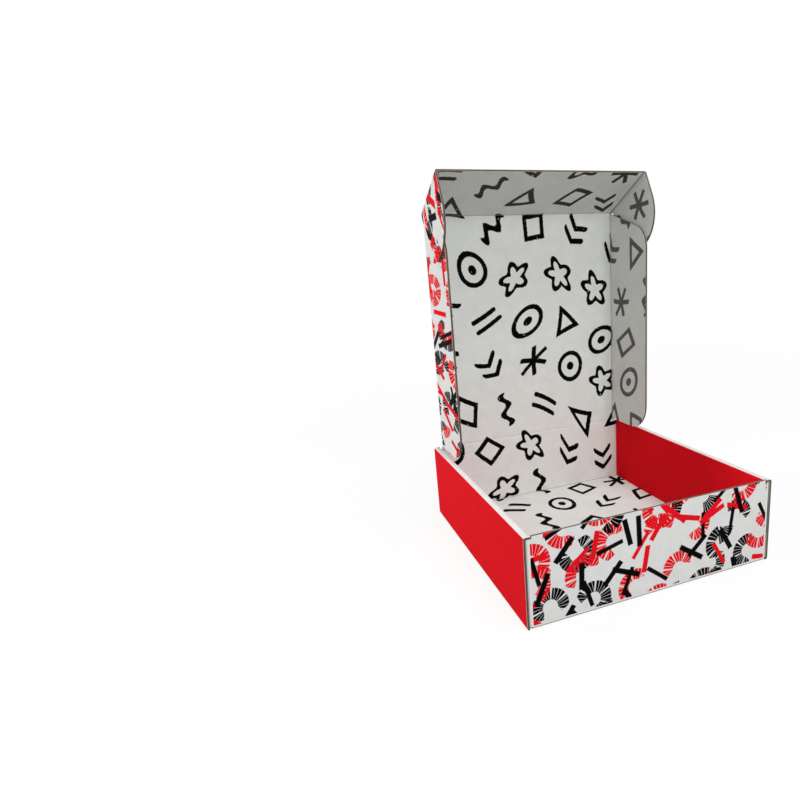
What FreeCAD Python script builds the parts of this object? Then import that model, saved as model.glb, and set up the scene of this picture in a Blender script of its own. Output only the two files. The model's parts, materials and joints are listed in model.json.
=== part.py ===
"""Corrugated mailer box, open: one die-cut sheet folded into a tray, a lid and a tuck flap.

The tray stands on the ground plane, centred on the origin: X is the width, Y runs from the front
wall to the back wall and Z is up. The lid stands straight up from the back wall's crease, and the
tuck flap leans forward from the lid's far edge.
"""
import FreeCAD, Part
import math
import os

Vector = FreeCAD.Vector

# Board
BOARD = 2.4
FOLD_OUTER_RADIUS = 1.8
FOLD_INNER_RADIUS = 0.2
LAYER_GAP = 0.1
CREASE_GAP = 0.2

# Tray
INNER_WIDTH = 254.0
INNER_DEPTH = 278.0
INNER_HEIGHT = 85.0
FRONT_WALL_SIDE_CUT = 0.4
INNER_PANEL_END_GAP = 0.3
EAR_LENGTH = 96.0
EAR_END_TAPER = 9.0

# Locking tabs of the inner side panels
TAB_LENGTH = 34.0
TAB_SPACING = 150.0
TAB_RECESS = 0.2
SLOT_SIDE_GAP = 0.3
SLOT_END_GAP = 0.8

# Lid
LID_FRONT_GAP = 1.5
WING_DEPTH = 81.5
WING_FOOT = 2.0
WING_HINGE_CORNER_RADIUS = 34.0
WING_FLAP_CORNER_RADIUS = 26.0
WING_FLAP_GAP = 0.5

# Tuck flap, with its fold angle away from the lid's plane, open and shut
FLAP_DEPTH = 84.5
FLAP_OPEN_ANGLE = 62.7
FLAP_SHUT_ANGLE = 106.5
FLAP_EAR_LENGTH = 72.0
FLAP_EAR_ROOT = 2.0
FLAP_EAR_FRONT_RADIUS = 42.0
FLAP_EAR_BACK_RADIUS = 7.0
EAR_WALL_GAP = 0.35
EAR_WING_GAP = 0.25

# Worked out from the sizes above
SIDE_THICKNESS = 3 * BOARD + 2 * LAYER_GAP
OUTER_WIDTH = INNER_WIDTH + 2 * SIDE_THICKNESS
OUTER_DEPTH = INNER_DEPTH + 2 * BOARD
HEIGHT = BOARD + INNER_HEIGHT
UNDER_STRIP = HEIGHT - BOARD
HALF_BOARD = BOARD / 2
END_PANEL_HALF = OUTER_WIDTH / 2 - BOARD - LAYER_GAP
HINGE_Y = OUTER_DEPTH / 2 - HALF_BOARD
HINGE_Z = HEIGHT - HALF_BOARD
CREASE_SETBACK = BOARD + CREASE_GAP
LID_LENGTH = INNER_DEPTH - LID_FRONT_GAP
FLAP_HALF = INNER_WIDTH / 2 - EAR_WALL_GAP
LID_HALF = FLAP_HALF - BOARD - EAR_WING_GAP
FLAP_Z = HINGE_Z + LID_LENGTH
SHUT_LEAN = math.radians(FLAP_SHUT_ANGLE - 90)


def in_xy(a, b):
    return Vector(a, b, 0)


def in_xz(a, b):
    return Vector(a, 0, b)


def in_yz(a, b):
    return Vector(0, a, b)


def unit(start, end):
    length = math.hypot(end[0] - start[0], end[1] - start[1])
    return ((end[0] - start[0]) / length, (end[1] - start[1]) / length)


def outline(points, plane):
    """Face inside a closed outline of (a, b, corner radius) points; radius 0 leaves a sharp corner."""
    count = len(points)
    starts = []
    ends = []
    middles = []
    for i, (a, b, radius) in enumerate(points):
        here = (a, b)
        back = unit(here, points[i - 1][:2])
        on = unit(here, points[(i + 1) % count][:2])
        half = math.acos(max(-1.0, min(1.0, back[0] * on[0] + back[1] * on[1]))) / 2
        if radius == 0:
            starts.append(here)
            ends.append(here)
            middles.append(None)
            continue
        reach = radius / math.tan(half)
        starts.append((a + back[0] * reach, b + back[1] * reach))
        ends.append((a + on[0] * reach, b + on[1] * reach))
        bisector = unit((0, 0), (back[0] + on[0], back[1] + on[1]))
        depth = radius / math.sin(half) - radius
        middles.append((a + bisector[0] * depth, b + bisector[1] * depth))
    edges = []
    for i in range(count):
        following = (i + 1) % count
        if middles[i]:
            edges.append(Part.Arc(plane(*starts[i]), plane(*middles[i]), plane(*ends[i])).toShape())
        edges.append(Part.LineSegment(plane(*ends[i]), plane(*starts[following])).toShape())
    return Part.Face(Part.Wire(edges))


def folded_strip(path, plane):
    """Section of a board whose middle follows the path, with a rounded fold at each inner point."""
    sides = {1: [], -1: []}
    last = len(path) - 1
    for i, point in enumerate(path):
        into = unit(path[i - 1], point) if i > 0 else unit(point, path[1])
        out = unit(point, path[i + 1]) if i < last else into
        normal = (-(into[1] + out[1]) / 2, (into[0] + out[0]) / 2)
        stretch = HALF_BOARD / (normal[0] ** 2 + normal[1] ** 2)
        turn = into[0] * out[1] - into[1] * out[0]
        for side in (1, -1):
            radius = 0
            if 0 < i < last:
                radius = FOLD_INNER_RADIUS if turn * side > 0 else FOLD_OUTER_RADIUS
            sides[side].append(
                (point[0] + side * normal[0] * stretch, point[1] + side * normal[1] * stretch, radius)
            )
    return outline(sides[1] + sides[-1][::-1], plane)


def block(x0, x1, y0, y1, z0, z1):
    return Part.makeBox(x1 - x0, y1 - y0, z1 - z0, Vector(x0, y0, z0))


def slab_across(face, half):
    """The face, drawn in the YZ plane, extruded across the width from -half to half."""
    moved = face.translated(Vector(-half, 0, 0))
    return moved.extrude(Vector(2 * half, 0, 0))


def rod_across(y, z, half):
    """Round edge of a crushed crease, one board thick, across the width."""
    return Part.makeCylinder(HALF_BOARD, 2 * half, Vector(-half, y, z), Vector(1, 0, 0))


def floor_and_side_walls():
    """Floor, outer side panels, top strips and inner side panels, folded from one strip."""
    outer = OUTER_WIDTH / 2 - HALF_BOARD
    inner = INNER_WIDTH / 2 + HALF_BOARD
    top = HEIGHT - HALF_BOARD
    foot = BOARD + LAYER_GAP
    right = [(outer, HALF_BOARD), (outer, top), (inner, top), (inner, foot)]
    left = [(-a, b) for a, b in reversed(right)]
    section = folded_strip(left + right, in_xz)
    walls = section.translated(Vector(0, -OUTER_DEPTH / 2, 0)).extrude(Vector(0, OUTER_DEPTH, 0))
    wall_end = OUTER_DEPTH / 2 - BOARD - INNER_PANEL_END_GAP
    for side in (1, -1):
        near, far = sorted((side * wall_end, side * OUTER_DEPTH))
        walls = walls.cut(block(-END_PANEL_HALF, END_PANEL_HALF, near, far, -1, UNDER_STRIP))
    return walls


def floor_and_end_walls():
    """Floor, front wall and back wall, folded from one strip between the outer side panels."""
    wall = OUTER_DEPTH / 2 - HALF_BOARD
    back_top = HINGE_Z - CREASE_SETBACK
    path = [(-wall, HEIGHT), (-wall, HALF_BOARD), (wall, HALF_BOARD), (wall, back_top)]
    half = END_PANEL_HALF - FOLD_OUTER_RADIUS
    walls = slab_across(folded_strip(path, in_yz), half)
    walls = walls.fuse(rod_across(HINGE_Y, back_top, half))
    cut_from = INNER_WIDTH / 2 - FRONT_WALL_SIDE_CUT
    for side in (1, -1):
        near, far = sorted((side * cut_from, side * OUTER_WIDTH))
        ends = block(near, far, -OUTER_DEPTH, 0, UNDER_STRIP - LAYER_GAP, 2 * HEIGHT)
        walls = walls.cut(ends)
    return walls


def trapped_ear(side, end):
    """Ear folded off a front or back wall, standing between the two layers of a side wall."""
    wall = OUTER_DEPTH / 2 - HALF_BOARD
    middle = END_PANEL_HALF - HALF_BOARD
    tip = OUTER_DEPTH / 2 - EAR_LENGTH
    overlap = middle - 4 * FOLD_OUTER_RADIUS
    low = BOARD + LAYER_GAP
    high = UNDER_STRIP - LAYER_GAP
    path = [(side * overlap, end * wall), (side * middle, end * wall), (side * middle, end * tip)]
    section = folded_strip(path, in_xy).translated(Vector(0, 0, low))
    ear = section.extrude(Vector(0, 0, high - low))
    taper = [
        (end * OUTER_DEPTH, low - 1, 0),
        (end * (tip + EAR_END_TAPER), low - 1, 0),
        (end * tip, low + EAR_END_TAPER, 0),
        (end * tip, high - EAR_END_TAPER, 0),
        (end * (tip + EAR_END_TAPER), high + 1, 0),
        (end * OUTER_DEPTH, high + 1, 0),
    ]
    return ear.common(slab_across(outline(taper, in_yz), OUTER_WIDTH))


def tab_places():
    return [(side, along * TAB_SPACING / 2) for side in (1, -1) for along in (1, -1)]


def tray():
    """Everything below the lid's crease."""
    body = floor_and_side_walls().fuse(floor_and_end_walls())
    for side in (1, -1):
        for end in (1, -1):
            body = body.fuse(trapped_ear(side, end))
    near = INNER_WIDTH / 2
    far = near + BOARD
    for side, y in tab_places():
        slot_half = TAB_LENGTH / 2 + SLOT_END_GAP
        x0, x1 = sorted((side * (near - SLOT_SIDE_GAP), side * (far + SLOT_SIDE_GAP)))
        body = body.cut(block(x0, x1, y - slot_half, y + slot_half, -1, BOARD))
    for side, y in tab_places():
        x0, x1 = sorted((side * near, side * far))
        tab_half = TAB_LENGTH / 2
        body = body.fuse(block(x0, x1, y - tab_half, y + tab_half, TAB_RECESS, 2 * BOARD))
    return body.removeSplitter()


def winged_panel(half, wing, low, length):
    """A panel with a wing folded forward at each side, before its outline is cut."""
    middle = half - HALF_BOARD
    path = [(-middle, HINGE_Y - wing), (-middle, HINGE_Y), (middle, HINGE_Y), (middle, HINGE_Y - wing)]
    section = folded_strip(path, in_xy).translated(Vector(0, 0, low))
    return section.extrude(Vector(0, 0, length))


def panel_outline(low, high):
    back = HINGE_Y + HALF_BOARD
    front = HINGE_Y - HALF_BOARD
    return outline([(back, low, 0), (front, low, 0), (front, high, 0), (back, high, 0)], in_yz)


def wing_outline():
    """Lid wing seen from the side: cut back along the flap's shut angle, rounded at both ends."""
    back = HINGE_Y + HALF_BOARD
    free = HINGE_Y - WING_DEPTH
    foot = HINGE_Z + WING_FOOT
    below_flap = (HALF_BOARD + WING_FLAP_GAP) / math.cos(SHUT_LEAN)
    top_at_panel = FLAP_Z - below_flap - HALF_BOARD * math.tan(SHUT_LEAN)
    top_at_free = FLAP_Z - below_flap - WING_DEPTH * math.tan(SHUT_LEAN)
    points = [
        (back, foot, 0),
        (free, foot, WING_HINGE_CORNER_RADIUS),
        (free, top_at_free, WING_FLAP_CORNER_RADIUS),
        (HINGE_Y - HALF_BOARD, top_at_panel, 0),
        (back, top_at_panel, 0),
    ]
    return outline(points, in_yz)


def lid():
    """Lid panel and wings, standing on the back wall's crease."""
    blank = winged_panel(LID_HALF, WING_DEPTH, HINGE_Z, LID_LENGTH)
    far_edge = FLAP_Z - CREASE_SETBACK
    panel = blank.common(slab_across(panel_outline(HINGE_Z, far_edge), LID_HALF))
    wings = blank.common(slab_across(wing_outline(), LID_HALF))
    crease_half = LID_HALF - FOLD_OUTER_RADIUS
    body = panel.fuse(wings)
    body = body.fuse(rod_across(HINGE_Y, HINGE_Z, crease_half))
    body = body.fuse(rod_across(HINGE_Y, far_edge, crease_half))
    return body.removeSplitter()


def flap_ear_outline():
    """Ear of the tuck flap seen from the side, while the flap is still in the lid's plane."""
    back = HINGE_Y + HALF_BOARD
    tip = HINGE_Y - FLAP_EAR_LENGTH
    root = FLAP_Z + FLAP_EAR_ROOT
    end = FLAP_Z + FLAP_DEPTH
    slant = root + FLAP_EAR_LENGTH * math.tan(SHUT_LEAN)
    points = [
        (back, root, 0),
        (HINGE_Y, root, 0),
        (tip, slant, FLAP_EAR_BACK_RADIUS),
        (tip, end, FLAP_EAR_FRONT_RADIUS),
        (back, end, 0),
    ]
    return outline(points, in_yz)


def tuck_flap():
    """Tuck flap and ears, folded forward from the lid's far edge to the open angle."""
    blank = winged_panel(FLAP_HALF, FLAP_EAR_LENGTH, FLAP_Z, FLAP_DEPTH)
    panel = blank.common(slab_across(panel_outline(FLAP_Z, FLAP_Z + FLAP_DEPTH), FLAP_HALF))
    ears = blank.common(slab_across(flap_ear_outline(), FLAP_HALF))
    body = panel.fuse(ears)
    body = body.fuse(rod_across(HINGE_Y, FLAP_Z, FLAP_HALF - FOLD_OUTER_RADIUS))
    body = body.removeSplitter()
    body.rotate(Vector(0, HINGE_Y, FLAP_Z), Vector(1, 0, 0), FLAP_OPEN_ANGLE)
    return body


def main():
    os.makedirs("parts", exist_ok=True)
    shapes = {"tray": tray(), "lid": lid(), "tuck_flap": tuck_flap()}
    for name, shape in shapes.items():
        if len(shape.Solids) != 1 or not shape.isValid():
            raise ValueError(f"{name} is not one valid solid")
        shape.Solids[0].exportStep(f"parts/{name}.step")
        box = shape.BoundBox
        print(
            f"{name}: volume {shape.Volume:.0f}, x {box.XMin:.2f} to {box.XMax:.2f},",
            f"y {box.YMin:.2f} to {box.YMax:.2f}, z {box.ZMin:.2f} to {box.ZMax:.2f}",
        )


main()
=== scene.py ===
"""Open corrugated mailer box: a tray with rolled side walls, a winged lid and a tuck flap.

Each piece is cut flat, as from its die-cut blank, folded along its creases and given the board's
thickness. Every piece keeps its place in the flat blank, so the print runs on across the folds.
"""
import bmesh
import bpy
import json
import math
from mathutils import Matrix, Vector


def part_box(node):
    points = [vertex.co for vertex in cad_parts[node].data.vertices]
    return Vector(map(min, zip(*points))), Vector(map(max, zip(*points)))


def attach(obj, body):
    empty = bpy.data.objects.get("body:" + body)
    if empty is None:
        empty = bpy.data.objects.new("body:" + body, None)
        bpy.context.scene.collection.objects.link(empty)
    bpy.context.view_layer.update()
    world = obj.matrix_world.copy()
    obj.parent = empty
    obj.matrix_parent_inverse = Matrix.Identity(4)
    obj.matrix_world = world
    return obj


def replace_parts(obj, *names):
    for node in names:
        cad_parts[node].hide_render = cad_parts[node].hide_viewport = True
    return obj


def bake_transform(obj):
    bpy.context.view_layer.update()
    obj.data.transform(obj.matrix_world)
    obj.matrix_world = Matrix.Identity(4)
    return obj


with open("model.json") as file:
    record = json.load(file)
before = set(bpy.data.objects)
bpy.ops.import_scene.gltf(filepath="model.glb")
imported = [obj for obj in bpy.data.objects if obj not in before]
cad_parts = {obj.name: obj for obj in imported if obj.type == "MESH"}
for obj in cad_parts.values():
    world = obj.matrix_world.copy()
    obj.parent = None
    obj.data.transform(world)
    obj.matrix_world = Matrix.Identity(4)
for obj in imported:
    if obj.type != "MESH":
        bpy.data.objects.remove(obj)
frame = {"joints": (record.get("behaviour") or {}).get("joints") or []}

bl_info = {
    "name": "Corrugated mailer box",
    "version": (1, 0, 0),
    "blender": (4, 5, 0),
    "location": "View3D > Sidebar > Mailer box",
    "description": "Builds an open corrugated mailer box from flat, creased board",
    "category": "Add Mesh",
}

JOINTS = {joint["name"]: joint for joint in frame["joints"]}
LID_HINGE = Vector(JOINTS["lid_hinge"]["pos_m"])
TUCK_FOLD = Vector(JOINTS["tuck_fold"]["pos_m"])
TRAY_LOW, TRAY_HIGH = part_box("tray")
LID_LOW, LID_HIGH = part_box("lid")
FLAP_LOW, FLAP_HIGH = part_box("tuck_flap")

# A hair's breadth, to tell places of the flat sheet apart
HAIR = 1e-5
BLANK_UV = "Blank"
FLAT_PLACE = "flat_place"
ACROSS_BOARD = "across_board"

CORNER_SEGMENTS = 10
FOLD_SEGMENTS = 4
SHARP_EDGE = math.radians(32)

# Rows of faces in a moving crease, and the share of its thickness that is pressed away
CREASE_ROWS = 8
CREASE_PRESS = 0.32

# Step from the seed of a cell's first three random numbers to that of its next three
SECOND_DRAW = 7.3
RED_SHARE = 0.5

# Kind, share of the confetti spacing, seed, half width in cells, and share of cells that are filled
CONFETTI_LAYERS = (
    ("arc", 1.0, 11.0, 0.125, 0.97),
    ("fan", 0.9, 23.0, 0.0, 0.35),
    ("arc", 1.15, 67.0, 0.11, 0.9),
    ("bar", 0.72, 40.0, 0.085, 0.65),
    ("bar", 0.8, 55.0, 0.06, 0.65),
    ("bar", 0.87, 88.0, 0.07, 0.6),
)

# Name, place and size of each lamp, in metres
LAMPS = (
    ("key_lamp", (0.1, -1.8, 1.15), 0.9),
    ("top_lamp", (0.1, -0.45, 2.0), 0.9),
    ("side_lamp", (-2.0, 1.3, 0.45), 0.6),
)
LAMP_TARGET = Vector((0, 0, 0.15))
SENSOR_WIDTH = 36
GROUND_GAP = 0.0003
FLOOR_PALE = 0.9

# Share of the floor's white at the box, and the distances from the box where all of it is back,
# where it begins to turn plain white and where it is plain
CONTACT_WHITE = 0.4
CONTACT_END = 0.012
WHITE_BEGINS = 0.3
WHITE_FULL = 1.2


def number(name, description, default, **kind):
    """A number, with its unit or subtype and its limits if it has any."""
    return bpy.props.FloatProperty(name=name, description=description, default=default, **kind)


def length(name, description, default):
    """A size in metres."""
    return number(name, description, default, min=0, precision=5, unit="LENGTH")


def angle(name, description, degrees):
    """An angle, shown in degrees."""
    return number(name, description, math.radians(degrees), subtype="ANGLE")


def colour(name, description, default):
    """A surface colour, in linear values."""
    return bpy.props.FloatVectorProperty(
        name=name, description=description, default=default, size=3, min=0, max=1, subtype="COLOR"
    )


class BoardSizes(bpy.types.PropertyGroup):
    """The corrugated board and its creases."""

    thickness: length("Thickness", "Thickness of the board", 0.0024)
    layer_gap: length("Layer gap", "Gap between two layers of a wall", 0.0001)
    fold_radius: length("Fold radius", "Radius of a fold at the middle of the board", 0.00125)
    crease_reach: length("Crease reach", "Width of a moving crease, to each side", 0.0017)
    crease_notch: length("Crease notch", "Cut-back of the board beside the end of a fold", 0.0016)
    print_margin: length("Print margin", "Bare board beside the front wall's creases", 0.0010)
    flute_pitch: length("Flute pitch", "Length of one wave of the fluting", 0.0064)


class TraySizes(bpy.types.PropertyGroup):
    """The tray below the lid's crease."""

    width: length("Width", "Outer width", TRAY_HIGH.x - TRAY_LOW.x)
    depth: length("Depth", "Outer depth", TRAY_HIGH.y - TRAY_LOW.y)
    height: length("Height", "Outer height", TRAY_HIGH.z - TRAY_LOW.z)
    panel_end_gap: length("Panel end gap", "Gap at each end of an inner side panel", 0.0003)
    corner_cut: length("Corner cut", "Gap between front wall and top strip", 0.0004)
    ear_length: length("Ear length", "Length of an ear between the layers of a side", 0.096)
    ear_taper: length("Ear taper", "Cut across the corners of an ear", 0.009)
    tab_length: length("Tab length", "Length of a locking tab", 0.034)
    tab_spacing: length("Tab spacing", "Distance between a side's two tabs", 0.150)
    tab_recess: length("Tab recess", "Height of a tab's end above the ground", 0.0002)
    slot_side_gap: length("Slot side gap", "Gap beside a tab in its slot", 0.0003)
    slot_end_gap: length("Slot end gap", "Gap at each end of a tab in its slot", 0.0008)


class LidSizes(bpy.types.PropertyGroup):
    """The lid and its two wings."""

    width: length("Width", "Outer width", LID_HIGH.x - LID_LOW.x)
    reach: length("Reach", "From the lid's crease to the flap's", TUCK_FOLD.z - LID_HINGE.z)
    wing_depth: length("Wing depth", "Depth of a wing", 0.0815)
    wing_foot: length("Wing foot", "From the lid's crease up to a wing", 0.0020)
    wing_flap_gap: length("Wing flap gap", "Gap between a wing and the shut flap", 0.0005)
    hinge_corner: length("Hinge corner", "Radius of a wing's corner by the hinge", 0.034)
    flap_corner: length("Flap corner", "Radius of a wing's corner by the flap", 0.026)


class FlapSizes(bpy.types.PropertyGroup):
    """The tuck flap and its two ears."""

    width: length("Width", "Outer width", FLAP_HIGH.x - FLAP_LOW.x)
    depth: length("Depth", "From the flap's crease to its free edge", 0.0845)
    open_angle: angle("Open angle", "Fold away from the lid's plane when the box is open", 62.7)
    shut_angle: angle("Shut angle", "Fold away from the lid's plane when the box is shut", 106.5)
    ear_length: length("Ear length", "Length of an ear", 0.072)
    ear_root: length("Ear root", "From the flap's crease to an ear", 0.0020)
    ear_front: length("Ear front corner", "Radius of an ear's corner by the free edge", 0.042)
    ear_back: length("Ear back corner", "Radius of an ear's corner by the lid", 0.007)


class PrintLook(bpy.types.PropertyGroup):
    """Inks, paper, painted shade and the scale of the print."""

    white: colour("White", "White top liner", (0.815, 0.815, 0.80))
    # Painted shade: the inside's white is darker than the outside's, for the shade inside the box
    inside_white: colour("Inside white", "White liner of the inside", (0.765, 0.79, 0.76))
    red: colour("Red", "Red ink", (0.81, 0.007, 0.015))
    black: colour("Black", "Black ink", (0.0012, 0.0012, 0.0015))
    # Painted shade: grey in place of black for the ink inside the wings, ears and flap, for the shade
    # there
    faded: colour("Faded black", "Thin black ink inside the lid's wings", (0.125, 0.125, 0.118))
    # Painted shade: the top strips' bare liner is a darker copy of the outside white, to tone down the
    # light falling on them
    strip_white: colour("Strip white", "Bare liner of the walls' top strips", (0.76, 0.76, 0.745))
    # Painted shade: a grey line along the inside of each fold, for the shade in the crease
    crease_line: colour("Crease line", "Pressed line along the inside of a fold", (0.30, 0.30, 0.29))
    edge_paper: colour("Edge paper", "Paper in a cut edge", (0.20, 0.150, 0.115))
    edge_liner: colour("Edge liner", "Liner seen in a cut edge", (0.52, 0.45, 0.39))
    # Painted shade: the hollows between the flutes of a cut edge are painted near black
    edge_hollow: colour("Edge hollow", "Dark hollow between two flutes", (0.050, 0.038, 0.030))
    # Painted shade: dark grey on the outside of the front wall's foot, where the box meets the floor
    crease_shade: colour("Crease shade", "Scuffed outside of the front wall's foot", (0.13, 0.13, 0.13))
    motif_spacing: length("Motif spacing", "Distance between motifs on the inside", 0.056)
    confetti_spacing: length("Confetti spacing", "Distance between arcs on the outside", 0.044)
    wing_stretch: number("Wing stretch", "Stretch of the outside print over the wings", 1.9)


class StageLook(bpy.types.PropertyGroup):
    """Camera, lamps and floor."""

    camera_place: bpy.props.FloatVectorProperty(
        name="Camera place",
        description="Where the camera stands",
        default=(-0.30085, -0.56156, 0.31104),
        subtype="TRANSLATION",
        unit="LENGTH",
    )
    camera_turn: bpy.props.FloatVectorProperty(
        name="Camera turn",
        description="How the camera is turned",
        default=(math.radians(75.56), math.radians(2.732), math.radians(-23.237)),
        subtype="EULER",
    )
    focal_pixels: number("Focal length", "Focal length in the photograph", 598.0, subtype="PIXEL")
    centre_across: number("Lens centre across", "From the photograph's left", 525.2, subtype="PIXEL")
    centre_down: number("Lens centre down", "From the photograph's top", 412.1, subtype="PIXEL")
    photo_side: number("Photograph's side", "Width of the photograph", 800, subtype="PIXEL")
    floor_size: length("Floor size", "Side of the floor", 12.0)
    floor_white: number("Floor white", "Share of plain white in the floor", 0.88, max=1)
    floor_bounce: number("Floor bounce", "Share of light that the floor throws back", 0.35)
    daylight: number("Daylight", "Strength of the light from all around", 0.55)
    key_power: number("Key lamp", "Power of the large lamp at the front", 16.2, subtype="POWER")
    top_power: number("Top lamp", "Power of the lamp overhead", 14.5, subtype="POWER")
    side_power: number("Side lamp", "Power of the low lamp at the left", 26.0, subtype="POWER")


GROUPS = {
    "mailer_board": BoardSizes,
    "mailer_tray": TraySizes,
    "mailer_lid": LidSizes,
    "mailer_flap": FlapSizes,
    "mailer_print": PrintLook,
    "mailer_stage": StageLook,
}


def sizes_of(context):
    """The scene's property groups, in the order board, tray, lid, flap, print and stage."""
    return [getattr(context.scene, name) for name in GROUPS]


# Cutting and folding


def both_sides(values):
    """Every value and its mirror image, in rising order."""
    return sorted({side * value for value in values for side in (-1, 1)})


def choose(piece, kind, test):
    """Selects only those vertices, edges or faces of the piece in edit mode that pass the test."""
    bpy.ops.mesh.select_mode(type=kind)
    bpy.ops.mesh.select_all(action="DESELECT")
    shape = bmesh.from_edit_mesh(piece.data)
    members = {"VERT": shape.verts, "EDGE": shape.edges, "FACE": shape.faces}[kind]
    for member in members:
        if test(member):
            member.select_set(True)
    shape.select_flush_mode()
    bmesh.update_edit_mesh(piece.data)


def cut_blank(name, across, along, keep):
    """A flat sheet with cuts and creases at the given lines, less the cells that keep refuses."""
    bpy.ops.object.select_all(action="DESELECT")
    middle = ((across[0] + across[-1]) / 2, (along[0] + along[-1]) / 2, 0)
    bpy.ops.mesh.primitive_plane_add(size=1, location=middle)
    piece = bpy.context.object
    piece.name = name
    piece.data.name = name
    piece.scale = (across[-1] - across[0], along[-1] - along[0], 1)
    bpy.ops.object.transform_apply()
    bpy.ops.object.mode_set(mode="EDIT")
    cuts = [((x, 0, 0), (1, 0, 0)) for x in across[1:-1]]
    cuts += [((0, y, 0), (0, 1, 0)) for y in along[1:-1]]
    for point, normal in cuts:
        bpy.ops.mesh.select_all(action="SELECT")
        bpy.ops.mesh.bisect(plane_co=point, plane_no=normal, threshold=HAIR / 10)

    def waste(face):
        centre = face.calc_center_median()
        return not keep(centre.x, centre.y)

    choose(piece, "FACE", waste)
    bpy.ops.mesh.delete(type="FACE")
    bpy.ops.object.mode_set(mode="OBJECT")
    return piece


def change_corner(piece, x, y, change, **settings):
    """Runs an edit operator on one corner of the flat sheet."""
    bpy.ops.object.mode_set(mode="EDIT")
    choose(piece, "VERT", lambda vertex: (vertex.co.xy - Vector((x, y))).length < HAIR)
    change(**settings)
    bpy.ops.object.mode_set(mode="OBJECT")


def move_corner(piece, x, y, shift):
    """Moves a corner of the flat sheet along its length."""
    change_corner(piece, x, y, bpy.ops.transform.translate, value=(0, shift, 0))


def round_corner(piece, x, y, reach, segments=CORNER_SEGMENTS):
    """Rounds a corner of the flat sheet, or cuts it straight across with one segment."""
    bevel = bpy.ops.mesh.bevel
    change_corner(piece, x, y, bevel, offset=reach, segments=segments, affect="VERTICES")


def mark_flat(piece, blank_start):
    """Keeps each vertex's flat place, and lays the UV map as the piece lies in the whole blank."""
    mesh = piece.data
    places = mesh.attributes.new(FLAT_PLACE, "FLOAT_VECTOR", "POINT")
    for vertex in mesh.vertices:
        places.data[vertex.index].vector = vertex.co
    while mesh.uv_layers:
        mesh.uv_layers.remove(mesh.uv_layers[0])
    blank = mesh.uv_layers.new(name=BLANK_UV)
    for loop in mesh.loops:
        place = mesh.vertices[loop.vertex_index].co
        blank.data[loop.index].uv = (place.x, place.y + blank_start)


def fold(piece, beyond, at, axis, degrees):
    """Turns what lies beyond a crease, by its flat place, about the crease.

    With no window, rotate turns the other way, so it gets the angle with its sign changed.
    """
    bpy.ops.object.mode_set(mode="EDIT")
    layer = bmesh.from_edit_mesh(piece.data).verts.layers.float_vector[FLAT_PLACE]
    choose(piece, "VERT", lambda vertex: beyond(vertex[layer]))
    turn = -math.radians(degrees)
    bpy.ops.transform.rotate(value=turn, orient_axis=axis, orient_type="GLOBAL", center_override=at)
    bpy.ops.object.mode_set(mode="OBJECT")


def fold_sides(piece, crease):
    """Folds up what lies beyond a crease at each side."""
    fold(piece, lambda flat: flat.x > crease + HAIR, (crease, 0, 0), "Y", -90)
    fold(piece, lambda flat: flat.x < -crease - HAIR, (-crease, 0, 0), "Y", 90)


def round_creases(piece, on_crease, radius):
    """Rounds the folded edges whose two ends lie on a crease of the flat sheet."""
    bpy.ops.object.mode_set(mode="EDIT")
    layer = bmesh.from_edit_mesh(piece.data).verts.layers.float_vector[FLAT_PLACE]
    choose(piece, "EDGE", lambda edge: on_crease(edge.verts[0][layer], edge.verts[1][layer]))
    bpy.ops.mesh.bevel(offset=radius, segments=FOLD_SEGMENTS, affect="EDGES", clamp_overlap=True)
    bpy.ops.object.mode_set(mode="OBJECT")


def on_lines(axis, lines):
    """Passes an edge that runs along one of the lines of the flat sheet."""
    return lambda a, b: any(
        abs(a[axis] - line) < HAIR and abs(b[axis] - line) < HAIR for line in lines
    )


def thicken(piece, thickness):
    """Gives the sheet its thickness, half to each side, and returns how many faces a side has."""
    faces = len(piece.data.polygons)
    vertices = len(piece.data.vertices)
    solid = piece.modifiers.new("Board", "SOLIDIFY")
    solid.thickness = thickness
    solid.offset = 0
    solid.use_even_offset = True
    bpy.ops.object.modifier_apply(modifier=solid.name)
    across = piece.data.attributes.new(ACROSS_BOARD, "FLOAT", "POINT")
    for vertex in piece.data.vertices:
        across.data[vertex.index].value = 0.0 if vertex.index < vertices else 1.0
    return faces


def dress(context, piece, faces, outside=None):
    """Gives each face its finish; outside picks one by flat place, or all of it is confetti."""
    inside = finish_by(motif_print, context)
    confetti = finish_by(confetti_print, context)
    edge = finish_by(raw_edge, context)
    finishes = []
    blank = piece.data.uv_layers[BLANK_UV].data
    for face in piece.data.polygons:
        corners = [blank[loop].uv for loop in face.loop_indices]
        place = sum(corners, Vector((0, 0))) / len(corners)
        if face.index < faces:
            finish = inside
        elif face.index < 2 * faces:
            finish = outside(place) if outside else confetti
        else:
            finish = edge
        if finish not in finishes:
            finishes.append(finish)
            piece.data.materials.append(finish)
        face.material_index = finishes.index(finish)


def place_piece(piece, turn, at):
    """Shades a folded piece smooth up to its cut edges, turns it about the width and moves it."""
    bpy.ops.object.shade_smooth_by_angle(angle=SHARP_EDGE)
    piece.data.attributes.remove(piece.data.attributes[FLAT_PLACE])
    piece.rotation_euler = (turn, 0, 0)
    piece.location = at
    bpy.ops.object.transform_apply()


def set_down(piece, body):
    """Rides the piece on its body."""
    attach(piece, body)


# Finishes


def operation(kind):
    """A method that works out one kind of the Math node from a value and others."""
    return lambda value, *others: value.recipe.math(kind, value, *others)


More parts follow.
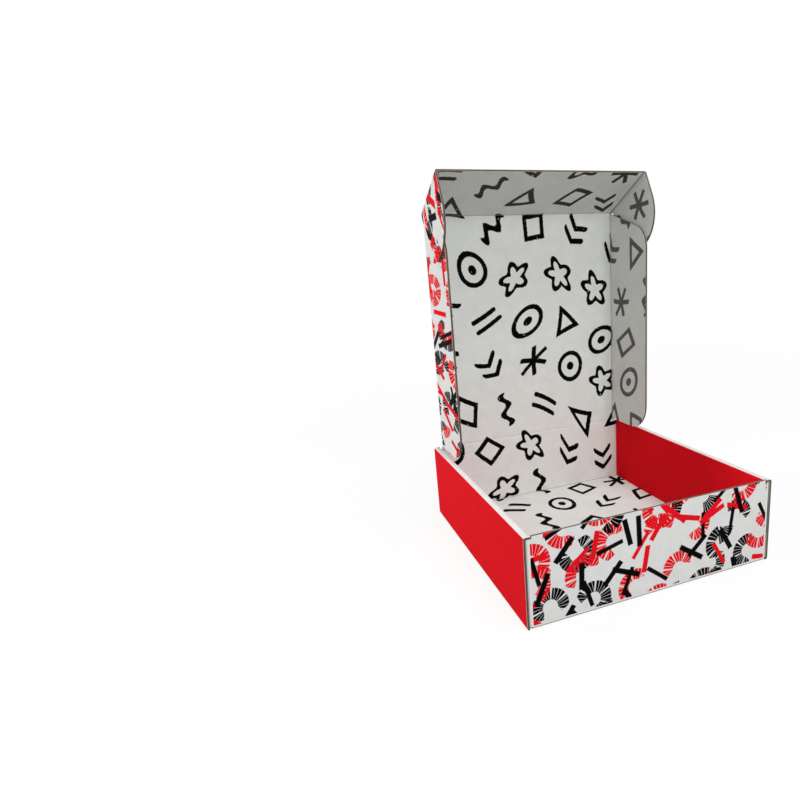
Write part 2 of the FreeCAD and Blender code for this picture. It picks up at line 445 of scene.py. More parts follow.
class Value:
    """A number that a material works out at each point, for use in plain arithmetic."""

    __add__ = operation("ADD")
    __sub__ = operation("SUBTRACT")
    __mul__ = operation("MULTIPLY")
    __truediv__ = operation("DIVIDE")
    __abs__ = operation("ABSOLUTE")
    sign = operation("SIGN")
    floor = operation("FLOOR")
    fraction = operation("FRACT")
    root = operation("SQRT")
    sine = operation("SINE")
    cosine = operation("COSINE")
    least = operation("MINIMUM")
    most = operation("MAXIMUM")
    below = operation("LESS_THAN")
    above = operation("GREATER_THAN")
    back_and_forth = operation("PINGPONG")

    def __init__(self, recipe, socket):
        self.recipe = recipe
        self.socket = socket

    def __rsub__(self, other):
        return self.recipe.math("SUBTRACT", other, self)

    def equals(self, whole, play=0.4):
        """1 where a whole number is the given one, and 0 elsewhere."""
        return self.recipe.math("COMPARE", self, whole, play)

    def ramp(self, low, high, out_low=0.0, out_high=1.0):
        """Leads the range from low to high over to another range, and holds its ends."""
        limits = {"From Min": low, "From Max": high, "To Min": out_low, "To Max": out_high}
        mapped = self.recipe.put("ShaderNodeMapRange", {"Value": self, **limits}, clamp=True)
        return Value(self.recipe, mapped.outputs[0])


def opaque(tone):
    """A written colour with its alpha; another node's colour stays as it is."""
    return tone if isinstance(tone, bpy.types.NodeSocket) else (*tone, 1)


class Recipe:
    """Builds a material or the world's light, node by node."""

    def __init__(self, owner, output="ShaderNodeOutputMaterial"):
        owner.use_nodes = True
        self.owner = owner
        self.tree = owner.node_tree
        self.tree.nodes.clear()
        self.output = self.tree.nodes.new(output)

    def put(self, kind, inputs=None, **settings):
        """Adds a node with its settings, and feeds its inputs."""
        node = self.tree.nodes.new(kind)
        for key, value in settings.items():
            setattr(node, key, value)
        for key, value in (inputs or {}).items():
            self.feed(node.inputs[key], value)
        return node

    def feed(self, socket, value):
        """Sets a socket to a value, or links another socket to it."""
        if isinstance(value, Value):
            value = value.socket
        if isinstance(value, bpy.types.NodeSocket):
            self.tree.links.new(value, socket)
        else:
            socket.default_value = value

    def math(self, kind, *values, clamp=False):
        inputs = dict(enumerate(values))
        node = self.put("ShaderNodeMath", inputs, operation=kind, use_clamp=clamp)
        return Value(self, node.outputs[0])

    def apart(self, vector):
        """A vector's first two numbers."""
        parts = self.put("ShaderNodeSeparateXYZ", {0: vector}).outputs
        return Value(self, parts[0]), Value(self, parts[1])

    def together(self, x, y):
        return self.put("ShaderNodeCombineXYZ", {0: x, 1: y}).outputs[0]

    def noise(self, vector, scale, detail=2.0, roughness=0.5):
        inputs = {"Vector": vector, "Scale": scale, "Detail": detail, "Roughness": roughness}
        return Value(self, self.put("ShaderNodeTexNoise", inputs).outputs[0])

    def chances(self, vector, seed):
        """Three random numbers for a cell."""
        inputs = {"Vector": vector, "W": seed}
        white = self.put("ShaderNodeTexWhiteNoise", inputs, noise_dimensions="4D")
        parts = self.put("ShaderNodeSeparateColor", {0: white.outputs["Color"]}).outputs
        return [Value(self, part) for part in parts[:3]]

    def blend(self, share, first, second):
        """A colour between two others, at the second where the share is 1."""
        # 6 and 7 are the Mix node's two colours
        inputs = {0: share, 6: opaque(first), 7: opaque(second)}
        return self.put("ShaderNodeMix", inputs, data_type="RGBA").outputs[2]

    def end(self, shader):
        """Gives the output its shader, and returns what the recipe was for."""
        self.feed(self.output.inputs["Surface"], shader.outputs[0])
        return self.owner

    def end_mixed(self, share, first, second):
        """Ends with a mix of two shaders, at the second where the share is 1."""
        inputs = {0: share, 1: first.outputs[0], 2: second.outputs[0]}
        return self.end(self.put("ShaderNodeMixShader", inputs))


def start_print(name):
    """A new material, and the place in the flat blank: across, along and both together."""
    recipe = Recipe(bpy.data.materials.new(name))
    blank = recipe.put("ShaderNodeUVMap", uv_map=BLANK_UV)
    across, along = recipe.apart(blank.outputs["UV"])
    return recipe, across, along, recipe.together(across, along)


def scatter(across, along, spacing, seed, jitter, turn):
    """Cells of one motif each: the place inside a cell, moved and turned, and its random numbers."""
    recipe = across.recipe
    row = along / spacing
    column = across / spacing + (row.floor() * 0.5).fraction()
    cell = recipe.together(column.floor(), row.floor())
    first, second, third = recipe.chances(cell, seed)
    x = column.fraction() - 0.5 - first.ramp(0, 1, -jitter, jitter)
    y = row.fraction() - 0.5 - second.ramp(0, 1, -jitter, jitter)
    spin = third.ramp(0, 1, -turn, turn)
    cosine = spin.cosine()
    sine = spin.sine()
    chances = recipe.chances(cell, seed + SECOND_DRAW)
    return x * cosine - y * sine, x * sine + y * cosine, chances


def sway(across, along, tilt=0.21, reach=0.010, wavelength=0.23, quicker=1.3):
    """The place in a tilted and gently waving grid, so that no motifs stand in straight rows."""
    level = across * math.cos(tilt) + along * -math.sin(tilt)
    upright = across * math.sin(tilt) + along * math.cos(tilt)
    rate = 2 * math.pi / wavelength
    side_wave = (upright * rate).sine()
    up_wave = (level * (rate * quicker)).sine()
    return side_wave * reach + level, up_wave * reach + upright


def radius_and_angle(x, y):
    """The distance from the middle and the angle about it."""
    return (x * x + y * y).root(), x.recipe.math("ARCTAN2", y, x)


def ring_line(radius, size=0.33, dot=0.05):
    """Distance from a ring with a dot in its middle."""
    return abs(radius - size).least((radius - dot).most(0))


def flower_line(radius, turn, petals=5, size=0.28, depth=0.08, evenness=0.85):
    """Distance from the outline of a flower."""
    return abs(radius - ((turn * petals).cosine() * depth + size)) * evenness


def polygon_line(radius, turn, sides, inner):
    """Distance from the outline of a regular shape."""
    folded = (turn + math.pi).back_and_forth(math.pi / sides)
    return abs(radius * folded.cosine() - inner)


def star_line(radius, turn, spokes=6, size=0.32):
    """Distance from the spokes of a star."""
    folded = (turn + math.pi).back_and_forth(math.pi / spokes)
    return (radius * folded.sine()).most(radius - size)


def bar_line(along, across, half):
    """Distance from a straight bar's middle line."""
    past = (abs(along) - half).most(0)
    return (past * past + across * across).root()


def pair_line(x, y, apart=0.13, half=0.3):
    """Distance from two bars side by side."""
    return bar_line(x, abs(y) - apart, half)


def wave_line(x, y, bends=14.0, swing=0.1, evenness=0.62, half=0.38):
    """Distance from an upright wave."""
    return bar_line(y, (x - (y * bends).sine() * swing) * evenness, half)


def chevron_line(x, y, slope=0.75, rise=0.08, apart=0.16, evenness=0.8, half=0.24):
    """Distance from two chevrons, one over the other."""
    bent = abs(x) * -slope + y
    return bar_line(x, (abs(bent + rise) - apart) * evenness, half)


def line_motifs(x, y, chance):
    """Distance from the line of one of eight plain signs, in cells."""
    radius, turn = radius_and_angle(x, y)
    signs = (
        ring_line(radius),
        flower_line(radius, turn),
        polygon_line(radius, turn, sides=3, inner=0.17),
        polygon_line(radius, turn, sides=4, inner=0.24),
        star_line(radius, turn),
        pair_line(x, y),
        wave_line(x, y),
        chevron_line(x, y),
    )
    pick = (chance * len(signs)).floor()
    total = 0.0
    for index, sign in enumerate(signs):
        total = pick.equals(index) * sign + total
    return total


def paper(recipe, place, white, cloud_scale=55, fibre_scale=900, cloud_share=0.6, darkest=0.90):
    """White top liner: faint cloudy mottling and fine fibres."""
    cloud = recipe.noise(place, cloud_scale, detail=4.0, roughness=0.6).ramp(0.35, 0.65)
    fibre = recipe.noise(place, fibre_scale).ramp(0.3, 0.7)
    tone = cloud * cloud_share + fibre * (1 - cloud_share)
    return recipe.blend(tone, [value * darkest for value in white], white)


def flute_wave(along, board):
    """The wave of the fluting along the blank, between -1 and 1."""
    return (along * (2 * math.pi / board.flute_pitch)).sine()


def finish_paper(recipe, tone, roughness, height, shine, depth, strength):
    """Ends a material with its colour, roughness and shine over a bump of the given depth."""
    bump = recipe.put("ShaderNodeBump", {"Strength": strength, "Distance": depth, "Height": height})
    inputs = {
        "Base Color": tone,
        "Roughness": roughness,
        "Specular IOR Level": shine,
        "Normal": bump.outputs[0],
    }
    return recipe.end(recipe.put("ShaderNodeBsdfPrincipled", inputs))


def finish_board(recipe, place, along, tone, board, roughness, change=0.06):
    """The printed board's gloss, with its faint flutes and fibres as bump."""
    fibres = recipe.noise(place, scale=1400)
    height = flute_wave(along, board) * 0.25 + fibres * 0.5
    gloss = recipe.noise(place, scale=260, detail=3.0)
    gloss = gloss.ramp(0.3, 0.7, roughness - change, roughness + change)
    return finish_paper(recipe, tone, gloss, height, shine=0.04, depth=0.00008, strength=0.35)


def ragged_edge(recipe, place, reach):
    """The uneven shift of an inked edge, to each side by the given reach."""
    return recipe.noise(place, scale=420, detail=3.0).ramp(0.25, 0.75, -reach, reach)


def ink_over(line, half_width, softness):
    """1 within a line's half width and 0 beyond it."""
    return line.ramp(half_width - softness, half_width + softness, 1, 0)


def rough_ink(recipe, place, line, half_width):
    """Ink over a line: ragged along its edge, with small worn gaps."""
    ragged = ragged_edge(recipe, place, reach=0.009)
    ink = ink_over(line + ragged, half_width, softness=0.006)
    worn = recipe.noise(place, scale=210, detail=4.0, roughness=0.7).ramp(0.31, 0.34)
    return ink * worn


def lid_start(board):
    """Where the lid's crease lies in the flat blank."""
    return TRAY_HIGH.y + LID_HINGE.z - board.thickness


def inside_folds(across, along, board, flap_share=0.4, crease_shade_strength=0.75, core=0.0003, rim=0.0008):
    """Painted shade on the inside: how grey the ink is on the wings and the flap, and how dark the
    painted crease shade along a fold is.
    """
    half = board.thickness / 2
    foot = TRAY_HIGH.y - half
    flap_start = lid_start(board) + TUCK_FOLD.z - LID_HINGE.z
    wing_fold = LID_HIGH.x - half
    on_lid = along.above(lid_start(board))
    on_wing = abs(across).above(wing_fold) * on_lid
    # Painted shade: the ink turns fully grey on the wings and ears, and partly grey on the flap
    painted_shade_share = on_wing.most(along.above(flap_start) * flap_share)
    from_foot = abs(abs(along) - foot)
    from_wing = abs(abs(across) - wing_fold) + (1.0 - on_lid)
    from_fold = from_foot.least(from_wing) - board.fold_radius
    from_flap = abs(along - flap_start)
    # Painted shade: darkest along the middle of a fold and the flap's crease
    return painted_shade_share, from_fold.least(from_flap).ramp(core, rim, crease_shade_strength, 0)


def motif_print(look, board):
    """Inside of the board: black line signs scattered on white, with painted shade: greyer ink on the
    wings, ears and flap, a darker white, and grey lines along the creases.
    """
    recipe, across, along, place = start_print("motif_print")
    level, upright = sway(across, along)
    x, y, chance = scatter(level, upright, look.motif_spacing, seed=3.1, jitter=0.06, turn=0.9)
    narrowing = 1.18
    line = line_motifs(x * narrowing, y, chance[0])
    ink = rough_ink(recipe, place, line, half_width=0.056)
    # Painted shade: the inside's paper is a darker white
    base = paper(recipe, place, look.inside_white)
    painted_shade_share, pressed = inside_folds(across, along, board)
    # Painted shade: black ink turns grey on the wings, ears and flap
    black = recipe.blend(painted_shade_share, look.black, look.faded)
    inked = recipe.blend(ink, base, black)
    # Painted shade: a grey line along each crease
    with_crease_shade = recipe.blend(pressed, inked, look.crease_line)
    return finish_board(recipe, place, along, with_crease_shade, board, roughness=0.86)


def hatched_arcs(x, y, chance, middle=0.29, reaches=(1.0, 2.3), slant=0.5, lines=4.3, gaps=1.05):
    """A broad half ring in a few lengths, with fine white lines and a few broad gaps across it."""
    radius, turn = radius_and_angle(x, y)
    reach = chance.ramp(0, 1, *reaches)
    past = (abs(turn) - reach).most(0) * radius
    line = abs(radius - middle) + past
    fine = ((radius * slant + turn) * lines).fraction().ramp(0.06, 0.14)
    broad = (turn * gaps + chance).fraction().ramp(0.10, 0.13)
    return line, fine * broad


def hatched_fans(x, y, drop=0.3, spread=0.62, inner=0.2, outer=0.5, lines=6.0):
    """A fan with fine white lines that spread from its corner."""
    radius, turn = radius_and_angle(y + drop, x)
    side = (abs(turn) - spread) * radius
    line = (radius - outer).most(side).most(inner - radius)
    return line, (turn * lines).fraction().ramp(0.13, 0.19)


def plain_bars(x, y, half=0.34):
    """A straight bar without lines across it."""
    return abs(y).most(abs(x) - half), 1.0


def front_margin(across, along, board, foot_shade_core=0.6, foot_shade_rim=0.8):
    """1 beside the front wall's creases, where the print stops short, and 1 on its foot, where shade is
    painted.
    """
    half = board.thickness / 2
    foot = TRAY_HIGH.y - half
    end = TRAY_HIGH.x - board.thickness - board.layer_gap - half
    margin = board.fold_radius + board.print_margin
    from_foot = abs(along + foot)
    by_end = abs(across).above(end - margin) * along.below(-foot)
    bare = from_foot.below(margin).most(by_end)
    radius = board.fold_radius
    # Painted shade along the outside of the foot's fold
    return bare, from_foot.ramp(radius * foot_shade_core, radius * foot_shade_rim, 1, 0)


def stretch_over_wings(across, along, board, stretch):
    """The place across the blank, drawn out beyond the folds of the lid's and the flap's wings."""
    fold_line = LID_HIGH.x - board.thickness / 2
    past = (abs(across) - fold_line).most(0) * along.above(lid_start(board))
    return across - past * (1 - 1 / stretch) * across.sign()


def confetti_print(look, board):
    """Outside of the board: red and black bars, hatched arcs and fans on white."""
    recipe, across, along, place = start_print("confetti_print")
    drawn = stretch_over_wings(across, along, board, look.wing_stretch)
    tone = paper(recipe, place, look.white)
    ragged = ragged_edge(recipe, place, reach=0.005)
    for kind, pitch, seed, half_width, share in CONFETTI_LAYERS:
        spacing = look.confetti_spacing * pitch
        x, y, chance = scatter(drawn, along, spacing, seed, jitter=0.12, turn=math.pi)
        if kind == "arc":
            line, hatch = hatched_arcs(x, y, chance[0])
        elif kind == "fan":
            line, hatch = hatched_fans(x, y)
        else:
            line, hatch = plain_bars(x, y)
        ink = ink_over(line + ragged, half_width, softness=0.008)
        ink = ink * chance[1].below(share) * hatch
        ink_tone = recipe.blend(chance[2].below(RED_SHARE), look.black, look.red)
        tone = recipe.blend(ink, tone, ink_tone)
    bare, foot_shade = front_margin(across, along, board)
    tone = recipe.blend(bare, tone, look.white)
    # Painted shade: dark grey along the front wall's foot
    tone = recipe.blend(foot_shade, tone, look.crease_shade)
    return finish_board(recipe, place, along, tone, board, roughness=0.84)


def red_print(look, board, darkest=0.93):
    """Outside of the side walls: one flat red with faint mottling."""
    recipe, _, along, place = start_print("red_print")
    cloud = recipe.noise(place, scale=60, detail=4.0, roughness=0.6).ramp(0.3, 0.7)
    red = recipe.blend(cloud, [value * darkest for value in look.red], look.red)
    return finish_board(recipe, place, along, red, board, roughness=0.84)


def bare_liner(look, board):
    """Unprinted white liner of the top strips, in a darker white as painted shade."""
    recipe, _, along, place = start_print("bare_liner")
    # Painted shade: a darker white than the outside's
    white = paper(recipe, place, look.strip_white)
    return finish_board(recipe, place, along, white, board, roughness=0.88)


def raw_edge(look, board, wave_height=0.30, wave_middle=0.45):
    """A cut edge: two liners with the fluting's wave between them, and painted shade in the hollows."""
    recipe, _, along, place = start_print("raw_edge")
    share = recipe.put("ShaderNodeAttribute", attribute_name=ACROSS_BOARD).outputs["Fac"]
    through = Value(recipe, share)
    wave = flute_wave(along, board) * wave_height + wave_middle
    fluting = abs(through - wave).ramp(0.09, 0.14, 1, 0)
    liners = through.ramp(0.80, 0.84).most(through.ramp(0.06, 0.09, 1, 0))
    # Painted shade: dark colour in the hollows between the flutes
    tone = recipe.blend(fluting, look.edge_hollow, look.edge_paper)
    tone = recipe.blend(liners, tone, look.edge_liner)
    fibre = recipe.noise(place, scale=1500)
    tone = recipe.blend(fibre.ramp(0.3, 0.7, 0, 0.3), tone, look.edge_paper)
    roughness = fibre.ramp(0.2, 0.8, 0.8, 0.95)
    height = fluting.most(liners)
    return finish_paper(recipe, tone, roughness, height, shine=0.2, depth=0.0006, strength=0.6)


def finish_by(maker, context):
    """The finish that a maker gives the board, made when it is first asked for."""
    if maker.__name__ in bpy.data.materials:
        return bpy.data.materials[maker.__name__]
    return maker(context.scene.mailer_print, context.scene.mailer_board)


# Pieces


def make_floor_and_sides(context):
    """Floor, outer side panels, top strips and inner side panels with their locking tabs."""
    board, tray = sizes_of(context)[:2]
    thick = board.thickness
    half = thick / 2
    side_layers = 3 * thick + 2 * board.layer_gap
    foot_fold = tray.width / 2 - half
    outer_fold = foot_fold + tray.height - thick
    inner_fold = outer_fold + side_layers - thick
    panel_edge = inner_fold + tray.height - half - thick - board.layer_gap
    tab_edge = panel_edge + thick + board.layer_gap - tray.tab_recess
    inner_face = tray.width / 2 - side_layers
    slot_near = inner_face - tray.slot_side_gap
    slot_far = inner_face + thick + tray.slot_side_gap
    end_cut = tray.width / 2 - thick - board.layer_gap
    wall_end = tray.depth / 2 - thick - tray.panel_end_gap
    tab_middle = tray.tab_spacing / 2
    tab_half = tray.tab_length / 2
    slot_half = tab_half + tray.slot_end_gap

    def keep(x, y):
        from_middle = abs(x)
        from_tab = abs(abs(y) - tab_middle)
        if from_middle < end_cut:
            in_slot = slot_near < from_middle < slot_far and from_tab < slot_half
            return abs(y) < wall_end and not in_slot
        if from_middle < inner_fold:
            return True
        if from_middle < panel_edge:
            return abs(y) < wall_end
        return from_tab < tab_half

    across = both_sides(
        [slot_near, slot_far, end_cut, foot_fold, outer_fold, inner_fold, panel_edge, tab_edge]
    )
    tab_lines = [tab_middle + step for step in (-slot_half, -tab_half, tab_half, slot_half)]
    along = both_sides([*tab_lines, wall_end, tray.depth / 2])
    piece = cut_blank("floor_and_sides", across, along, keep)
    mark_flat(piece, 0)
    for crease in (inner_fold, outer_fold, foot_fold):
        fold_sides(piece, crease)
    creases = both_sides([foot_fold, outer_fold, inner_fold])
    round_creases(piece, on_lines(0, creases), board.fold_radius)
    faces = thicken(piece, thick)
    red = finish_by(red_print, context)
    white = finish_by(bare_liner, context)

    def outside(place):
        from_middle = abs(place.x)
        if from_middle < foot_fold or outer_fold < from_middle < inner_fold:
            return white
        return red

    dress(context, piece, faces, outside)
    place_piece(piece, 0, (0, 0, half))
    set_down(piece, "tray")


def make_end_wall(context, name, side, top, ear_top, corner_half):
    """Front or back wall, with an ear at each end that stands between the layers of a side."""
    board, tray = sizes_of(context)[:2]
    thick = board.thickness
    half = thick / 2
    crease = tray.depth / 2 - half
    stub = tray.depth / 2 - thick - tray.panel_end_gap
    ear_fold = tray.width / 2 - thick - board.layer_gap - half
    neck = ear_fold - board.crease_notch
    ear_tip = ear_fold + tray.ear_length - half
    ear_foot = crease + half + board.layer_gap
    ear_head = crease + ear_top - half
    wall_edge = crease + top - half

    def keep(x, y):
        from_middle = abs(x)
        if abs(y) < ear_foot:
            return from_middle < neck
        if abs(y) < ear_head:
            return True
        return from_middle < corner_half

    across = both_sides([corner_half, neck, ear_fold, ear_tip])
    along = sorted(side * line for line in (stub, crease, ear_foot, ear_head, wall_edge))
    piece = cut_blank(name, across, along, keep)
    for tip in (-ear_tip, ear_tip):
        for line in (ear_foot, ear_head):
            round_corner(piece, tip, side * line, tray.ear_taper, 1)
    mark_flat(piece, 0)
    fold_sides(piece, ear_fold)
    fold(piece, lambda flat: abs(flat.y) > crease + HAIR, (0, side * crease, 0), "X", side * 90)
    ear_lines = on_lines(0, (-ear_fold, ear_fold))
    foot_line = on_lines(1, (side * crease,))
    round_creases(piece, lambda a, b: ear_lines(a, b) or foot_line(a, b), board.fold_radius)
    dress(context, piece, thicken(piece, thick))
    place_piece(piece, 0, (0, 0, half))
    set_down(piece, "tray")
    return piece


def make_front_wall(context):
    """Front wall: its top corners are cut back under the side walls' top strips."""
    board, tray = sizes_of(context)[:2]
    side_layers = 3 * board.thickness + 2 * board.layer_gap
    corner_half = tray.width / 2 - side_layers - tray.corner_cut
    ear_top = tray.height - board.thickness - board.layer_gap
    return make_end_wall(context, "front_wall", -1, tray.height, ear_top, corner_half)


def make_back_wall(context):
    """Back wall, up to the lid's crease."""
    board, _, lid = sizes_of(context)[:3]
    top = LID_HINGE.z - board.crease_reach
    corner_half = lid.width / 2 - board.thickness / 2 - board.crease_notch
    return make_end_wall(context, "back_wall", 1, top, top - board.layer_gap * 2, corner_half)


def make_winged(context, name, blank_start, panel, wing, slants, corners):
    """A panel with a wing folded in at each side, still lying flat on its back.

    The panel is given by half its width between the folds and its two ends, and a wing by its
    depth and its two ends. Slants and corners say where a wing's outline moves or is rounded.
    """
    board = context.scene.mailer_board
    fold_line, start, stop = panel
    depth, foot, head = wing
    neck = fold_line - board.crease_notch
    tip = fold_line + depth

    def keep(x, y):
        return abs(x) < neck or foot < y < head

    along = sorted({start, foot, head, stop})
    piece = cut_blank(name, both_sides([neck, fold_line, tip]), along, keep)
    for end in (-tip, tip):
        for line, shift in slants:
            move_corner(piece, end, line, shift)
        for line, reach in corners:
            round_corner(piece, end, line, reach)
    mark_flat(piece, blank_start)
    fold_sides(piece, fold_line)
    round_creases(piece, on_lines(0, (-fold_line, fold_line)), board.fold_radius)
    dress(context, piece, thicken(piece, board.thickness))
    return piece


def make_lid(context):
    """Lid panel and its two wings, rounded at both ends and cut back for the shut flap."""
    board, _, lid, flap = sizes_of(context)[:4]
    half = board.thickness / 2
    lean = flap.shut_angle - math.pi / 2
    head = lid.reach - (half + lid.wing_flap_gap) / math.cos(lean)
    drop = lid.wing_depth * math.tan(lean)
    flap_corner = lid.flap_corner / math.tan(flap.shut_angle / 2)
    piece = make_winged(
        context,
        "lid_panel",
        lid_start(board),
        panel=(lid.width / 2 - half, board.crease_reach, lid.reach - board.crease_reach),
        wing=(lid.wing_depth, lid.wing_foot, head),
        slants=[(head, -drop)],
        corners=[(lid.wing_foot, lid.hinge_corner), (head - drop, flap_corner)],
    )
    place_piece(piece, math.pi / 2, LID_HINGE)
    set_down(piece, "lid")
    return piece


def make_tuck_flap(context):
    """Tuck flap and its two ears, leaning forward from the lid's far edge."""
    board, _, lid, flap = sizes_of(context)[:4]
    rise = flap.ear_length * math.tan(flap.shut_angle - math.pi / 2)
    back_corner = flap.ear_back / math.tan(flap.shut_angle / 2)
    piece = make_winged(
        context,
        "tuck_panel",
        lid_start(board) + lid.reach,
        panel=(flap.width / 2 - board.thickness / 2, board.crease_reach, flap.depth),
        wing=(flap.ear_length, flap.ear_root, flap.depth),
        slants=[(flap.ear_root, rise)],
        corners=[(flap.ear_root + rise, back_corner), (flap.depth, flap.ear_front)],
    )
    place_piece(piece, math.pi / 2 + flap.open_angle, TUCK_FOLD)
    set_down(piece, "tuck")
    return piece


def make_crease(context, name, bend, at, blank_start, half_width):
    """Creased strip between two panels, pressed thinner along its middle."""
    board = context.scene.mailer_board
    reach = board.crease_reach
    span = reach / math.tan(bend / 2) * bend if bend else 2 * reach
    lines = [-reach + span * row / CREASE_ROWS for row in range(CREASE_ROWS + 1)]
    piece = cut_blank(name, [-half_width, half_width], lines, lambda x, y: True)
    mark_flat(piece, blank_start)
    faces = thicken(piece, board.thickness)
    bpy.ops.object.mode_set(mode="EDIT")
    for row, line in enumerate(lines):
        pressed = 1 - CREASE_PRESS * math.sin(math.pi * row / CREASE_ROWS)
        choose(piece, "VERT", lambda vertex: abs(vertex.co.y - line) < HAIR)
        bpy.ops.transform.resize(value=(1, 1, pressed), center_override=(0, line, 0))
    bpy.ops.object.mode_set(mode="OBJECT")
    turn = math.degrees(bend) / (CREASE_ROWS - 1)
    for line in reversed(lines[1:-1]):
        fold(piece, lambda flat: flat.y > line + HAIR, (0, line, 0), "X", turn)
    dress(context, piece, faces)
    place_piece(piece, math.pi / 2, at)
    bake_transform(piece)


def make_creases(context):
    """The two creases that move: tray to lid, and lid to tuck flap."""
    board, _, lid, flap = sizes_of(context)[:4]
    start = lid_start(board)
    half = lid.width / 2
    make_crease(context, "lid_crease", 0, LID_HINGE, start, half)
    start += lid.reach
    half = (flap.width + lid.width) / 4
    lean = flap.open_angle
    make_crease(context, "tuck_crease", lean, TUCK_FOLD, start, half)


# Stage


def unlit_rays(recipe):
    """1 for what the camera sees directly, in a mirror or through glass."""
    rays = recipe.put("ShaderNodeLightPath").outputs
    seen = recipe.math("ADD", rays["Is Camera Ray"], rays["Is Glossy Ray"])
    return recipe.math("ADD", seen, rays["Is Transmission Ray"], clamp=True)


def floor_finish(white_share, bounce):
    """Pale floor: partly plain white to the camera, and partly lit, so that it keeps the shadow."""
    recipe = Recipe(bpy.data.materials.new("stage_floor"))
    seen = unlit_rays(recipe)
    pale = recipe.blend(seen, [bounce] * 3, [FLOOR_PALE] * 3)
    lit = recipe.put("ShaderNodeBsdfDiffuse", {"Color": pale})
    white = recipe.put("ShaderNodeEmission", {"Strength": 1.0})
    across, along = recipe.apart(recipe.put("ShaderNodeTexCoord").outputs["Object"])
    away = (abs(across) - TRAY_HIGH.x).most(abs(along) - TRAY_HIGH.y)
    contact = away.ramp(0.0, CONTACT_END, white_share * CONTACT_WHITE, white_share)
    plain = contact.most(away.ramp(WHITE_BEGINS, WHITE_FULL, white_share, 1.0))
    return recipe.end_mixed(seen * plain, lit, white)


def light_world(daylight):
    """Even daylight that looks plain white to the camera."""
    world = bpy.data.worlds.new("daylight")
    bpy.context.scene.world = world
    recipe = Recipe(world, "ShaderNodeOutputWorld")
    white = {"Color": (1, 1, 1, 1), "Strength": 1.0}
    light = recipe.put("ShaderNodeBackground", {**white, "Strength": daylight})
    seen = recipe.put("ShaderNodeBackground", white)
    recipe.end_mixed(unlit_rays(recipe), light, seen)


def add_lamps(powers):
    """Large soft lamps that face the box."""
    for (name, place, size), power in zip(LAMPS, powers):
        bpy.ops.object.light_add(type="AREA", location=place)
        lamp = bpy.context.object
        lamp.name = name
        lamp.data.size = size
        lamp.data.energy = power
        lamp.rotation_euler = (LAMP_TARGET - Vector(place)).to_track_quat("-Z", "Y").to_euler()


def make_stage(context):
    """Floor, lamps, daylight and the camera at the photograph's angle."""
    stage = context.scene.mailer_stage
    bpy.ops.object.select_all(action="DESELECT")
    bpy.ops.mesh.primitive_plane_add(size=stage.floor_size, location=(0, 0, -GROUND_GAP))
    ground = bpy.context.object
    ground.name = "stage_floor"
    ground.data.materials.append(floor_finish(stage.floor_white, stage.floor_bounce))
    light_world(stage.daylight)
    add_lamps((stage.key_power, stage.top_power, stage.side_power))
    bpy.ops.object.camera_add(location=stage.camera_place, rotation=stage.camera_turn)
    camera = bpy.context.object
    camera.name = "photo_camera"
    camera.data.sensor_fit = "HORIZONTAL"
    camera.data.sensor_width = SENSOR_WIDTH
    camera.data.lens = stage.focal_pixels / stage.photo_side * SENSOR_WIDTH
    camera.data.shift_x = (stage.photo_side / 2 - stage.centre_across) / stage.photo_side
    camera.data.shift_y = (stage.centre_down - stage.photo_side / 2) / stage.photo_side
    camera.data.clip_start = 0.01
    camera.data.clip_end = 60
    context.scene.camera = camera
    context.scene.view_settings.view_transform = "Standard"


# Operators and panel


class MAILER_OT_floor_and_sides(bpy.types.Operator):
    """Adds the floor with the two rolled side walls and their locking tabs"""

    bl_idname = "mailer.floor_and_sides"
    bl_label = "Floor and side walls"

    def execute(self, context):
        make_floor_and_sides(context)
        return {"FINISHED"}


class MAILER_OT_end_walls(bpy.types.Operator):
    """Adds the front and back walls with the ears that the side walls trap"""

    bl_idname = "mailer.end_walls"
    bl_label = "Front and back walls"

    def execute(self, context):
        front = make_front_wall(context)
        make_back_wall(context)
        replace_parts(front, "tray")
        return {"FINISHED"}


class MAILER_OT_lid(bpy.types.Operator):
    """Adds the lid with its two wings"""

    bl_idname = "mailer.lid"
    bl_label = "Lid and wings"

    def execute(self, context):
        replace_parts(make_lid(context), "lid")
        return {"FINISHED"}


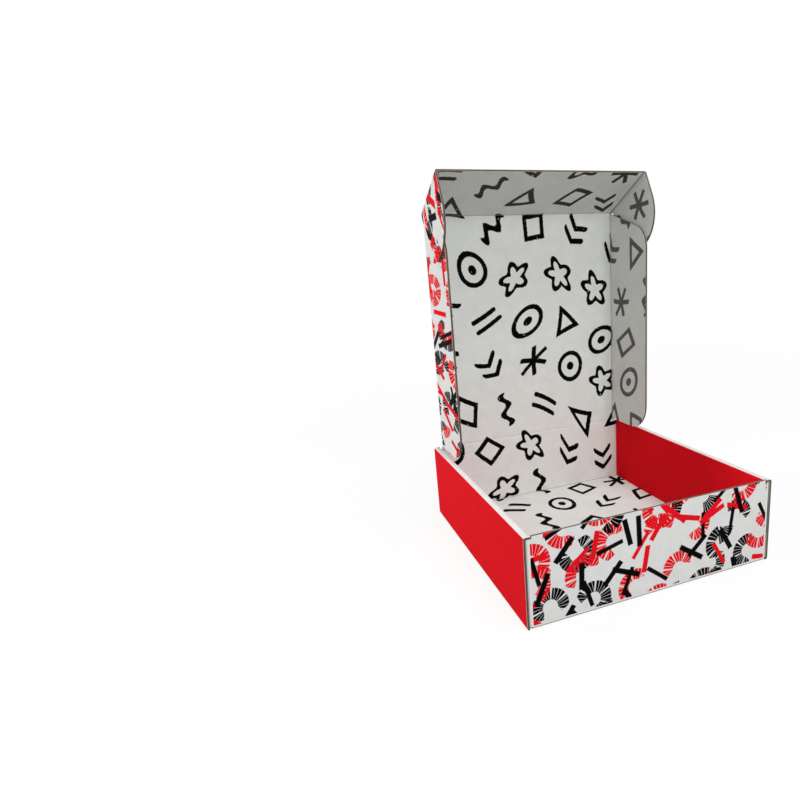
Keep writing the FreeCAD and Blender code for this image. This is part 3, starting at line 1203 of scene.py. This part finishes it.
class MAILER_OT_tuck_flap(bpy.types.Operator):
    """Adds the tuck flap with its two ears"""

    bl_idname = "mailer.tuck_flap"
    bl_label = "Tuck flap and ears"

    def execute(self, context):
        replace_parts(make_tuck_flap(context), "tuck_flap")
        return {"FINISHED"}


class MAILER_OT_creases(bpy.types.Operator):
    """Adds the creased strips at the lid and at the tuck flap"""

    bl_idname = "mailer.creases"
    bl_label = "Moving creases"

    def execute(self, context):
        make_creases(context)
        return {"FINISHED"}


class MAILER_OT_stage(bpy.types.Operator):
    """Adds the floor, the lamps and the camera"""

    bl_idname = "mailer.stage"
    bl_label = "Stage"

    def execute(self, context):
        make_stage(context)
        return {"FINISHED"}


class MAILER_PT_sidebar(bpy.types.Panel):
    """Sizes, looks and the steps that build the mailer box"""

    bl_idname = "MAILER_PT_sidebar"
    bl_label = "Mailer box"
    bl_space_type = "VIEW_3D"
    bl_region_type = "UI"
    bl_category = "Mailer box"

    def draw(self, context):
        layout = self.layout
        for group in sizes_of(context):
            box = layout.box()
            for key in group.__annotations__:
                box.prop(group, key)
        for operator in OPERATORS:
            layout.operator(operator.bl_idname)


OPERATORS = (
    MAILER_OT_floor_and_sides,
    MAILER_OT_end_walls,
    MAILER_OT_lid,
    MAILER_OT_tuck_flap,
    MAILER_OT_creases,
    MAILER_OT_stage,
)


def register():
    for name, group in GROUPS.items():
        bpy.utils.register_class(group)
        setattr(bpy.types.Scene, name, bpy.props.PointerProperty(type=group))
    for operator in OPERATORS:
        bpy.utils.register_class(operator)
    bpy.utils.register_class(MAILER_PT_sidebar)


def unregister():
    bpy.utils.unregister_class(MAILER_PT_sidebar)
    for operator in reversed(OPERATORS):
        bpy.utils.unregister_class(operator)
    for name, group in reversed(GROUPS.items()):
        delattr(bpy.types.Scene, name)
        bpy.utils.unregister_class(group)


def main():
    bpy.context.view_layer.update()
    register()
    bpy.ops.mailer.floor_and_sides()
    bpy.ops.mailer.end_walls()
    bpy.ops.mailer.lid()
    bpy.ops.mailer.tuck_flap()
    bpy.ops.mailer.creases()
    bpy.ops.mailer.stage()


if __name__ == "__main__":
    main()
